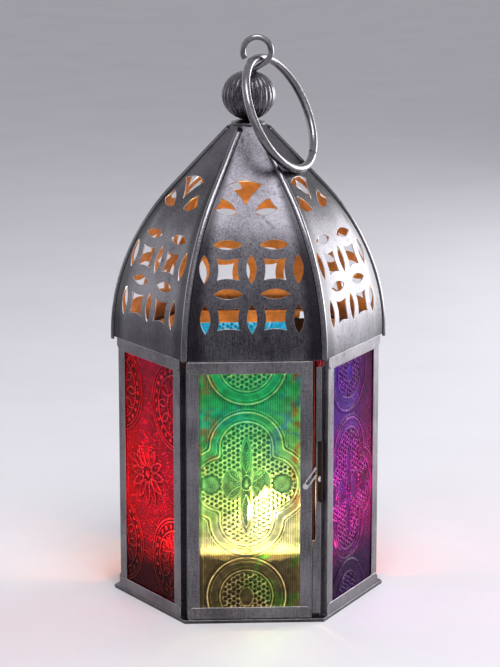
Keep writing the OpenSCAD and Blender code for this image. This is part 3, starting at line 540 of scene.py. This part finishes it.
# Each pane's colours go by height. On the door, right and left panes they paint light: the candle's glow
# above the cup's rim, and shade below it. The back panes are darker towards the bottom.
BORDER = 0.0255        # height at which the painted shade on the door pane's lower part ends
GLASS = {
    "green": glass_pair(
        "green_glass",
        [(0, (0.105, 0.12, 0.07), 0), (BORDER, (0.72, 0.98, 0.66), 0.0016),
         (0.041, (0.42, 0.92, 0.32), 0.008), (0.056, (0.17, 0.86, 0.26), 0.014),
         (0.072, (0.02, 0.76, 0.22), 0.012)],
        lean=-0.45, milk=(0.14, 0.85), frost=0.6, pale=(0.84, 0.98, 0.62),
        # Painted patches of colour seen through the pane: teal and blue in the upper part, brown at the
        # two edges; the last one, dark below BORDER, paints shade.
        patches=[((0.02, 0.66, 0.46), 60, 0.006, -0.010, 0.060, 0.074, 0.75),
                 ((0.42, 0.26, 0.05), 130, -0.0125, -0.0140, 0.050, 0.062, 0.7),
                 ((0.05, 0.42, 0.58), 105, 0.001, 0.008, 0.052, 0.062, 0.8),
                 ((0.50, 0.15, 0.04), 150, 0.0120, 0.0140, 0.036, 0.046, 0.7),
                 ((0.07, 0.24, 0.05), 70, -0.014, 0.002, BORDER, BORDER - MM, 1.0)]),
    "purple": glass_pair(
        "purple_glass",
        [(0, (0.09, 0.03, 0.38), 0), (0.024, (0.50, 0.033, 0.64), 0.016),
         (0.062, (0.32, 0.04, 0.58), 0.026)],
        milk=(0.08, 0.36), frost=0.16, pale=(0.85, 0.40, 0.95), gloss=0.15),
    "red": glass_pair(
        "red_glass",
        [(0, (0.09, 0.003, 0.015), 0), (0.020, (0.86, 0.007, 0.035), 0.012),
         (0.070, (0.94, 0.009, 0.04), 0.02)],
        milk=(0.10, 0.36), frost=0.16, pale=(1.0, 0.26, 0.30), gloss=0.15),
    "ruby": glass_pair(
        "ruby_glass",
        [(0, (0.42, 0.01, 0.03), 0), (0.03, (0.92, 0.02, 0.07), 0.02),
         (0.07, (0.92, 0.02, 0.08), 0.02)],
        frost=0.06),
    "turquoise": glass_pair(
        "turquoise_glass",
        [(0, (0.02, 0.35, 0.45), 0), (0.03, (0.05, 0.60, 0.75), 0.02),
         (0.07, (0.03, 0.48, 0.75), 0.02)]),
    "amber": glass_pair(
        "amber_glass",
        [(0, (0.60, 0.22, 0.02), 0), (0.03, (0.95, 0.50, 0.06), 0.02),
         (0.07, (0.90, 0.42, 0.05), 0.02)]),
}

DARK_SHEET = ((0.035, 0.033, 0.037), (0.085, 0.080, 0.088))
DARK = worn_metal("dark_sheet", *DARK_SHEET)
# Painted shade: a near-black, rough sheet for the back posts and the keeper plate, which lie in shade.
SHADE_SHEET = worn_metal("painted_shade_sheet", (0.014, 0.010, 0.009), (0.034, 0.022, 0.018),
                   rough=(0.55, 0.7), wear=0.1)
# Painted light: the eaves band's inner faces carry the candle's glow.
BAND = worn_metal("band_sheet", *DARK_SHEET, skin=CANDLE_GLOW_SKIN)
# The frames: plain; with the candle's glow painted on their inner faces; with dark red painted shade on
# all but their outer faces.
FRAME, FRAME_IN, FRAME_SHADED = [
    worn_metal(name, (0.078, 0.073, 0.080), (0.185, 0.175, 0.190), rough=(0.30, 0.42),
               bright=(0.50, 0.49, 0.51), edge=0.00035, wear=0.75, skin=skin, skin_at=at)
    for name, skin, at in (("frame_sheet", None, (0, 0)),
                           ("frame_sheet_back", CANDLE_GLOW_SKIN, (-0.4, -0.8)),
                           ("frame_sheet_painted_shade", RED_SHADE_SKIN, (0.6, 0.3)))]
ROOF = roof_metal()
RIB = worn_metal("rib_sheet", (0.075, 0.071, 0.080), (0.14, 0.135, 0.15), rough=(0.18, 0.28),
                 dirt=0.3, wear=0.3)
BALL = worn_metal("ball_sheet", (0.030, 0.028, 0.032), (0.12, 0.115, 0.125), rough=(0.2, 0.34),
                  edge=0.0002)
WIRE = worn_metal("wire", (0.12, 0.115, 0.125), (0.19, 0.185, 0.197), rough=(0.2, 0.28),
                  grain=(500, 500, 500), edge=0.0001, dirt=0.25, wear=0.15)
BRIGHT = worn_metal("bright_sheet", (0.34, 0.33, 0.35), (0.60, 0.59, 0.61), rough=(0.2, 0.34),
                    dirt=0.2)


def foil():
    s = Shader("foil")
    col = s.mix(s.noise(700, 3), (0.68, 0.68, 0.70), (0.88, 0.88, 0.90))
    return metal_surface(s, col, 1.0, s.ramp(s.noise(300), 0.3, 0.7, 0.22, 0.4),
                         s.bump(s.noise(500, 3), 0.4, 0.00008))


def wax():
    s = Shader("wax")
    col = s.mix(s.ramp(s.noise(120, 3), 0.35, 0.7), (0.95, 0.86, 0.66), (0.99, 0.93, 0.80))
    return s.done(s.node("BsdfPrincipled", Base_Color=col, Roughness=0.28, Subsurface_Weight=0.6,
                         Subsurface_Scale=0.004, Normal=s.bump(s.noise(260, 2), 0.3, 0.00012)))


def wick():
    """Woven and pale, charred towards its top."""
    s = Shader("wick")
    lo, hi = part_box("tealight_wick")
    char = s.ramp(s.xyz()["Z"], lo.z + 0.3 * (hi.z - lo.z), hi.z)
    weave = s.noise(1.0, 2, vector=s.at((2500, 2500, 900)))
    pale = s.mix(weave, (0.75, 0.70, 0.58), (0.9, 0.86, 0.75))
    return s.done(s.node("BsdfPrincipled", Base_Color=s.mix(char, pale, (0.02, 0.015, 0.012)),
                         Roughness=0.9, Normal=s.bump(weave, 0.6, 0.0001)))


def flame():
    """Blue and faint at the wick, bright yellow-white in the body, orange at the tip."""
    s = Shader("flame")
    wick_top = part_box("tealight_wick")[1].z
    k = s.ramp(s.xyz()["Z"], wick_top - 0.003, wick_top + 0.021)
    face = s.node("LayerWeight", Blend=0.35).outputs["Facing"]
    col = s.mix(s.ramp(k, 0.0, 0.3), (0.35, 0.45, 0.9), (1.0, 0.80, 0.42))
    col = s.mix(s.ramp(k, 0.6, 1.0), col, (1.0, 0.55, 0.16))
    power = s.math("MULTIPLY", s.ramp(k, 0.46, 0.66, 1.2, 40.0), s.ramp(face, 0.0, 0.9, 1.0, 0.35))
    glow = s.node("Emission", Color=col, Strength=power)
    clear = s.node("BsdfTransparent", Color=(1, 1, 1))
    in_shadow = s.node("LightPath").outputs["Is Shadow Ray"]
    through = s.math("MAXIMUM", s.ramp(face, 0.55, 1.0), in_shadow)
    return s.done(s.node("MixShader", i0=through, i1=glow, i2=clear))


# ---------------------------------------------------------------- carried-over nodes

SLOT = {
    "dark_metal": DARK, "frame_metal": FRAME, "roof_metal": ROOF, "rib_metal": RIB,
    "ball_metal": BALL, "ring_metal": WIRE, "bright_metal": BRIGHT, "foil": foil(), "wax": wax(),
    "wick": wick(),
}
# Nodes with a material of their own: the eaves band and the back frames carry the candle's glow painted on
# their inner faces; the back-right stile, the back posts and the keeper plate carry painted shade; the
# latch post and the eye are plain frame and wire.
OTHER_SKIN = {
    "eaves_band": BAND, "stiles_back": FRAME_IN, "rails_back": FRAME_IN,
    "stiles_back_left": FRAME_IN, "rails_back_left": FRAME_IN, "rails_back_right": FRAME_IN,
    "stiles_back_right": FRAME_SHADED, "post_back_right": SHADE_SHEET, "post_back_left": SHADE_SHEET,
    "post_latch": FRAME, "keeper_plate": SHADE_SHEET, "hanging_eye": WIRE,
}
for node, ob in NODES.items():
    for k, m in enumerate(ob.data.materials):
        base = m.name.split(".")[0] if m else ""
        if base in SLOT:
            ob.material_slots[k].material = SLOT[base]
    if node in OTHER_SKIN:
        ob.material_slots[0].material = OTHER_SKIN[node]


# ---------------------------------------------------------------- panes

# Node, body, side, glass, pattern, its shift and the grid's pitch in mm, how crisp it looks: crisp scales
# the relief value, and with it the milkiness and the painted shade and highlight.
PANES = [
    ("door_glass", "door", 0, "green", pattern_long, (-2.8, 5.4), 0.26, 0.95),
    ("glass_right", "body", 1, "purple", pattern_long, (-3.4, -1.8), 0.28, 0.85),
    ("glass_back_right", "body", 2, "ruby", pattern_flower, (0.0, 6.0), 0.42, 0.95),
    ("glass_back", "body", 3, "turquoise", pattern_long, (3.0, 6.0), 0.42, 0.95),
    ("glass_back_left", "body", 4, "amber", pattern_flower, (2.0, 5.0), 0.42, 0.95),
    ("glass_left", "body", 5, "red", pattern_flower, (-1.8, 5.4), 0.28, 1.3),
]
for node, body, face, colour, pattern, shift, pitch, crisp in PANES:
    ob = pane_mesh("pressed_" + node, node, face, pattern, shift, pitch, crisp, GLASS[colour])
    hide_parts(node)
    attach(ob, body)


# ---------------------------------------------------------------- ball

FLUTES, FLUTE_POINTS = 24, 14        # number of grooves, and of points across each
FLUTE_DEPTH = 0.062                  # as a share of the radius
BALL_INSET = 0.00002                 # keeps the ball inside its node
BALL_ROWS, POLE = 72, 82             # rows of points, and the latitude in degrees that they reach


def flute(r, t):
    groove = np.abs(np.sin(t * FLUTES / 2))
    return r - FLUTE_DEPTH * r * (1 - groove ** 0.55) - BALL_INSET


def ball_rows():
    lo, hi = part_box("finial_ball")
    mid, rad, half = (lo.z + hi.z) / 2, (hi.x - lo.x) / 2, (hi.z - lo.z) / 2
    lat = np.radians(np.linspace(-POLE, POLE, BALL_ROWS))
    full = half / math.sin(lat[-1])
    rows = [(rad * math.cos(a), mid + full * math.sin(a)) for a in lat]
    return [(0, rows[0][1])] + rows + [(0, rows[-1][1])]


ball = lathe("fluted_ball", ball_rows(), FLUTES * FLUTE_POINTS, flute, BALL)
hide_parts("finial_ball")
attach(ball, "body")


# ---------------------------------------------------------------- ring

RING_STEPS, WIRE_SIDES = 240, 24
SEAM = math.radians(125)             # where the wire's ends meet
SEAM_DEPTH, SEAM_WIDTH = 0.42, 0.00016                  # a share of the wire's radius; metres
SEAM_STEPS = (-0.36, -0.22, -0.14, -0.07, 0.0, 0.07, 0.14, 0.22, 0.36)      # mm along the wire


def wire_ring():
    """The hanging ring in round wire where its node lies, with a groove at its seam."""
    co = np.array([v.co for v in NODES["hanging_ring"].data.vertices], float)
    centre = (co.max(0) + co.min(0)) / 2
    normal = np.linalg.svd(co - co.mean(0), full_matrices=False)[2][2]
    reach = np.linalg.norm((co - centre) - np.outer((co - centre) @ normal, normal), axis=1)
    wire_r, big_r = (reach.max() - reach.min()) / 2, (reach.max() + reach.min()) / 2
    e1 = np.cross(normal, [0, 0, 1.0])
    e1 /= np.linalg.norm(e1)
    e2 = np.cross(normal, e1)
    turns = [2 * math.pi * i / RING_STEPS for i in range(RING_STEPS)]
    turns = sorted(turns + [SEAM + mm * MM / big_r for mm in SEAM_STEPS])
    verts, faces = [], []
    for i, a in enumerate(turns):
        gap = abs(a - SEAM) * big_r
        r = wire_r * (1 - SEAM_DEPTH * math.exp(-(gap / SEAM_WIDTH) ** 2))
        d = e1 * math.cos(a) + e2 * math.sin(a)
        here, there = i * WIRE_SIDES, (i + 1) % len(turns) * WIRE_SIDES
        for k in range(WIRE_SIDES):
            b, after = 2 * math.pi * k / WIRE_SIDES, (k + 1) % WIRE_SIDES
            verts.append(centre + d * (big_r + r * math.cos(b)) + normal * r * math.sin(b))
            faces.append((here + k, here + after, there + after, there + k))
    return new_object("wire_ring", verts, faces, [WIRE])


ring = wire_ring()
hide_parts("hanging_ring")
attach(ring, "ring")


# ---------------------------------------------------------------- ribs

RIB_HALF, RIB_RISE, RIB_CROWN = 0.0014, 0.00044, 0.0007      # half width, swell, hip's rounding
RIB_STEPS, RIB_CUTS = 14, 48                                 # faces across and along a rib
RIB_FOOT, RIB_HEAD = 0.0001, 0.0006                          # how far it ends inside its node
RIB_UNDER = 0.00002                                          # how far its back lies under the hip


def hip(z):
    """The distance of the roof's hip from the axis at a height, and the lean of its normal."""
    up = min(max((z - ROOF_ARC_Z) / ROOF_ARC_R, 0.0), ROOF_ARC_SIN)
    level = math.sqrt(1 - up * up)
    past = max(z - ROOF_ARC_Z - ROOF_ARC_R * ROOF_ARC_SIN, 0.0)
    flat = ROOF_FLAT - ROOF_ARC_R * (1 - level) - past * up / level
    to_corner = math.cos(SIDE_TURN / 2)
    return flat / to_corner, math.atan2(up, level * to_corner)


def rounded_rib(name, corner):
    """The folded rib over a hip with its sheet rounded over, inside the space of its node."""
    lo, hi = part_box(name)
    a = math.radians(60 * corner - 30)
    out, side = Vector((math.sin(a), -math.cos(a), 0)), Vector((math.cos(a), math.sin(a), 0))
    z0, z1 = lo.z + RIB_FOOT, hi.z - RIB_HEAD
    verts, faces = [], []
    for j in range(RIB_CUTS + 1):
        z = z0 + (z1 - z0) * j / RIB_CUTS
        r, lean = hip(z)
        n = out * math.cos(lean) + Vector((0, 0, 1)) * math.sin(lean)
        base = out * r + Vector((0, 0, z))
        fall = math.tan(SIDE_TURN / 2) * math.cos(lean)
        for k in range(RIB_STEPS + 1):
            t = RIB_HALF * (2 * k / RIB_STEPS - 1)
            drop = fall * abs(t)
            if abs(t) < RIB_HALF:
                swell = math.hypot(t, RIB_CROWN) - RIB_CROWN
                drop = min(fall * swell * (1 + RIB_CROWN / RIB_HALF * 0.9), drop)
            rise = RIB_RISE * math.sqrt(max(1 - (t / RIB_HALF) ** 2, 0))
            verts.append(base + side * t + n * (rise - drop))
        verts.append(base - n * RIB_UNDER)
    w = RIB_STEPS + 2
    for j in range(0, RIB_CUTS * w, w):
        for k in range(w):
            p, q = j + k, j + (k + 1) % w
            faces.append((p, q, q + w, p + w))
    faces += [tuple(range(w))[::-1], tuple(RIB_CUTS * w + k for k in range(w))]
    ob = new_object("rounded_" + name, verts, faces, [RIB], smooth=[len(f) == 4 for f in faces])
    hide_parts(name)
    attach(ob, "body")


HIPS = ("front_left", "front_right", "right", "back_right", "back_left", "left")
for k, corner in enumerate(HIPS):
    rounded_rib("rib_" + corner, k)


# ---------------------------------------------------------------- flame

FLAME_TALL, FLAME_WIDE, FLAME_LEAN = 0.0245, 0.0050, 0.0042
FLAME_START, LEAN_START = 0.0035, 0.002        # how far under the wick's top they begin
FLAME_ROWS, FLAME_SIDES = 32, 24
LEAN_OVER = 0.012                              # height over which it leans by FLAME_LEAN

wlo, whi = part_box("tealight_wick")
wx, wy = (wlo.x + whi.x) / 2, (wlo.y + whi.y) / 2


def candle_flame():
    """A drop of light round the wick that leans to the right as it rises; it has no node."""
    t = np.linspace(0, 1, FLAME_ROWS)
    radii = FLAME_WIDE * np.sin(np.pi * t ** 1.5) ** 0.95
    rows = list(zip(radii, whi.z - FLAME_START + t * FLAME_TALL))
    ob = lathe("candle_flame", rows, FLAME_SIDES, lambda r, t: np.full_like(t, r), flame())
    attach(ob, "tealight")
    for v in ob.data.vertices:
        up = min(max((v.co.z - whi.z + LEAN_START) / LEAN_OVER, 0), 1.3)
        v.co.x += wx + FLAME_LEAN * up ** 1.2
        v.co.y += wy


candle_flame()


# ---------------------------------------------------------------- stage, light, camera

def lamp(kind, name, at, power, colour):
    ob = bpy.data.objects.new(name, bpy.data.lights.new(name, kind))
    ob.data.energy, ob.data.color = power, colour
    ob.location = at
    bpy.context.collection.objects.link(ob)
    return ob


def point(name, at, power, size, colour):
    ob = lamp("POINT", name, at, power, colour)
    ob.data.shadow_soft_size = size
    return ob


def area(name, at, aim, size, power):
    """A white soft box that looks at a point."""
    ob = lamp("AREA", name, at, power, (1, 1, 1))
    ob.data.shape, ob.data.size, ob.data.size_y = "RECTANGLE", size[0], size[1]
    ob.rotation_mode = "QUATERNION"
    ob.rotation_quaternion = (Vector(aim) - Vector(at)).to_track_quat("-Z", "Y")
    return ob


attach(point("flame_light", (wx + 0.0038, wy, whi.z + 0.0130), 0.17, 0.003, (1.0, 0.60, 0.26)), "tealight")

area("soft_right", (0.75, 0.45, 0.17), (0, 0, 0.11), (0.60, 0.40), 8.4)
area("soft_left", (-0.52, 0.26, 0.20), (0, 0, 0.12), (0.30, 0.30), 0.5)
area("soft_top", (0.05, -0.36, 0.80), (0, 0, 0.15), (0.36, 0.36), 4.6)
area("soft_front", (0.30, -0.85, 0.55), (0, 0, 0.08), (0.5, 0.5), 0.8)


def floor_board():
    s = Shader("floor")
    col = s.mix(s.ramp(s.noise(14, 3), 0.3, 0.7), (0.80, 0.78, 0.83), (0.84, 0.82, 0.87))
    return s.done(s.node("BsdfPrincipled", Base_Color=col, Roughness=0.55,
                         Normal=s.bump(s.noise(900, 3), 0.1, 0.0002)))


bpy.ops.mesh.primitive_plane_add(size=6, location=(0, 0, 0))
floor = bpy.context.object
floor.name = "floor"
floor.data.materials.append(floor_board())


def studio():
    """A pale backdrop for the camera, metal and glass, over a dimmer light on everything."""
    s = Shader("studio", "World")
    path = s.node("LightPath").outputs
    mirrored = s.math("MAXIMUM", path["Is Transmission Ray"], path["Is Glossy Ray"])
    seen = s.math("MAXIMUM", path["Is Camera Ray"], mirrored)
    soft = s.node("Background", Color=(0.80, 0.80, 0.86), Strength=0.33)
    pale = s.node("Background", Color=(0.90, 0.89, 0.93), Strength=1.0)
    return s.done(s.node("MixShader", i0=seen, i1=soft, i2=pale))


bpy.context.scene.world = studio()

# The photo's camera, as solved from the lantern's corners.
AZ, EL, DIST = math.radians(-2.85), math.radians(12.52), 0.92292
AIM = (0.000537, 0, 0.09577)
FOCAL_PIXELS, PHOTO_TALL, SENSOR = 2538.59, 667, 36
back = Vector((math.sin(AZ) * math.cos(EL), -math.cos(AZ) * math.cos(EL), math.sin(EL)))
cam = bpy.data.cameras.new("camera")
cam.lens, cam.sensor_width, cam.sensor_fit = FOCAL_PIXELS / PHOTO_TALL * SENSOR, SENSOR, "AUTO"
cam.clip_start, cam.clip_end = 0.05, 20
eye = bpy.data.objects.new("camera", cam)
eye.location = Vector(AIM) + back * DIST
eye.rotation_mode = "QUATERNION"
eye.rotation_quaternion = (-back).to_track_quat("-Z", "Y")
bpy.context.collection.objects.link(eye)
bpy.context.scene.camera = eye
bpy.context.scene.view_settings.view_transform = "Standard"

bpy.context.view_layer.update()
